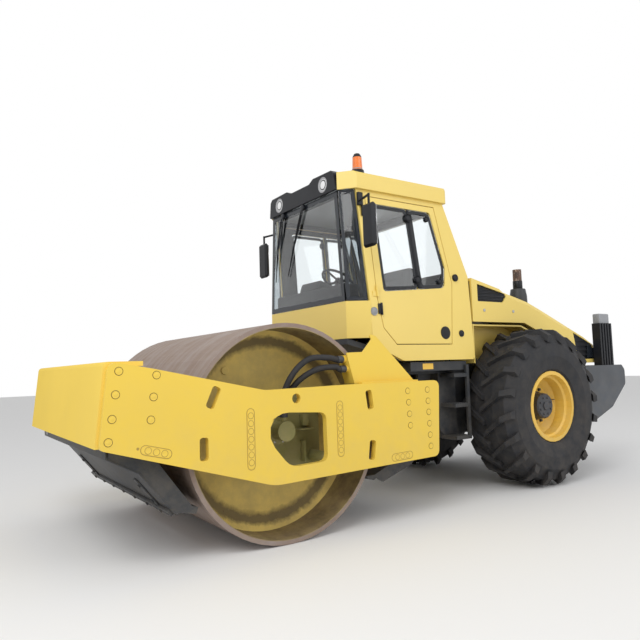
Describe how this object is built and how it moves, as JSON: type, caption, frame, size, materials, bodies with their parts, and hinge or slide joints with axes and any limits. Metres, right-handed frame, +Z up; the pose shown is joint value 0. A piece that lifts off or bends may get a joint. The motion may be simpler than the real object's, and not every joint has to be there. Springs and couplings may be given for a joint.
{
  "type": "articulated single drum soil roller",
  "caption": "Articulated single drum roller: smooth steel drum in a plate frame, glazed cab, sloping hinged engine hood, lugged tyres and a cast rear counterweight.",
  "frame": {"origin": "middle of the bounding box at floor level, under the machine's middle", "axes": "-Y is forward, towards the drum; +X is the machine's left side; +Z is up"},
  "size_m": [2.388, 6.252, 3.255],
  "materials": {
    "frame_yellow": "worn gloss paint on rolled steel plate",
    "cab_yellow": "gloss paint on sheet panels",
    "rim_yellow": "dusty gloss paint",
    "drum_steel": "bare rolled steel, light rust",
    "drum_inside": "dirty mustard paint",
    "dark_steel": "satin black paint",
    "grey_iron": "dark grey paint on a casting",
    "black_plastic": "matt black",
    "tyre_rubber": "dull black rubber",
    "hose_rubber": "black hose",
    "glass": "clear safety glass, faint grey tint",
    "amber": "clear amber lens",
    "chrome": "polished rod",
    "seat_vinyl": "dark grey seat cover",
    "rust_pipe": "burnt, rusty steel pipe"
  },
  "bodies": {
    "rear_frame": {"chassis": "dark_steel", "axle": "dark_steel", "counterweight": "grey_iron", "tail_post_left": "black_plastic", "tail_post_right": "black_plastic", "engine": "dark_steel", "wheel_arches": "cab_yellow", "step_box_left": "black_plastic", "step_box_right": "black_plastic", "cab_floor": "dark_steel", "cab_front": "cab_yellow", "cab_side_left": "cab_yellow", "cab_side_right": "cab_yellow", "cab_rear_wall": "cab_yellow", "windshield": "glass", "corner_glass_left": "glass", "corner_glass_right": "glass", "rear_window": "glass", "roof": "cab_yellow", "roof_visor": "black_plastic", "beacon": "amber", "mirror_left": "black_plastic", "mirror_right": "black_plastic", "seat": "seat_vinyl", "console": "black_plastic"},
    "front_frame": {"side_plate_left": "frame_yellow", "side_plate_right": "frame_yellow", "front_beam": "frame_yellow", "rear_beam": "frame_yellow", "front_scraper": "dark_steel", "rear_scraper": "dark_steel", "drum_carrier_left": "drum_inside", "drum_carrier_right": "drum_inside", "hose_upper": "hose_rubber", "hose_lower": "hose_rubber"},
    "drum": {"drum_shell": "drum_steel", "drum_head_left": "drum_inside", "drum_head_right": "drum_inside"},
    "wheel_left": {"tyre_left": "tyre_rubber", "rim_left": "rim_yellow", "hub_left": "dark_steel"},
    "wheel_right": {"tyre_right": "tyre_rubber", "rim_right": "rim_yellow", "hub_right": "dark_steel"},
    "hood_lid": {"hood": "cab_yellow", "upper_grille_left": "black_plastic", "upper_grille_right": "black_plastic", "rear_grille_left": "black_plastic", "rear_grille_right": "black_plastic", "exhaust": "rust_pipe"},
    "left_door": {"door_left": "cab_yellow", "door_glass_left": "glass"},
    "right_door": {"door_right": "cab_yellow", "door_glass_right": "glass"},
    "barrel_left": {"cylinder_barrel_left": "black_plastic"},
    "barrel_right": {"cylinder_barrel_right": "black_plastic"},
    "rod_left": {"cylinder_rod_left": "chrome"},
    "rod_right": {"cylinder_rod_right": "chrome"}
  },
  "joints": [
    {"name": "steering", "type": "hinge", "parent": "rear_frame", "child": "front_frame", "pos_m": [0, -0.134, 0.8], "axis": [0, 0, 1], "range_deg": [-35, 35]},
    {"name": "drum_roll", "type": "hinge", "parent": "front_frame", "child": "drum", "pos_m": [0, -1.734, 0.8], "axis": [1, 0, 0], "continuous": true},
    {"name": "wheel_roll_left", "type": "hinge", "parent": "rear_frame", "child": "wheel_left", "pos_m": [0.86, 1.366, 0.8], "axis": [1, 0, 0], "continuous": true},
    {"name": "wheel_roll_right", "type": "hinge", "parent": "rear_frame", "child": "wheel_right", "pos_m": [-0.86, 1.366, 0.8], "axis": [1, 0, 0], "continuous": true},
    {"name": "hood_lift", "type": "hinge", "parent": "rear_frame", "child": "hood_lid", "pos_m": [0, 0.681, 2.075], "axis": [1, 0, 0], "range_deg": [0, 45]},
    {"name": "door_swing_left", "type": "hinge", "parent": "rear_frame", "child": "left_door", "pos_m": [0.7557, -0.62101, 2.2], "axis": [0.0518, 0.0689, -0.9963], "range_deg": [0, 80]},
    {"name": "door_swing_right", "type": "hinge", "parent": "rear_frame", "child": "right_door", "pos_m": [-0.7557, -0.62101, 2.2], "axis": [0.0518, -0.0689, 0.9963], "range_deg": [0, 80]},
    {"name": "barrel_turn_left", "type": "hinge", "parent": "rear_frame", "child": "barrel_left", "pos_m": [0.3, 0.566, 0.8], "axis": [0, 0, 1], "range_deg": [-7.1, 7.1]},
    {"name": "barrel_turn_right", "type": "hinge", "parent": "rear_frame", "child": "barrel_right", "pos_m": [-0.3, 0.566, 0.8], "axis": [0, 0, 1], "range_deg": [-7.1, 7.1]},
    {"name": "rod_slide_left", "type": "slide", "parent": "barrel_left", "child": "rod_left", "axis": [0.1203, -0.9927, 0], "range_m": [-0.227, 0.227]},
    {"name": "rod_slide_right", "type": "slide", "parent": "barrel_right", "child": "rod_right", "axis": [-0.1203, -0.9927, 0], "range_m": [-0.227, 0.227]}
  ],
  "couplings": [
    {"joint": "barrel_turn_left", "follows": "steering", "ratio": 0.2},
    {"joint": "barrel_turn_right", "follows": "steering", "ratio": 0.2},
    {"joint": "rod_slide_left", "follows": "steering", "m_per_rad": -0.36912},
    {"joint": "rod_slide_right", "follows": "steering", "m_per_rad": 0.36912}
  ]
}
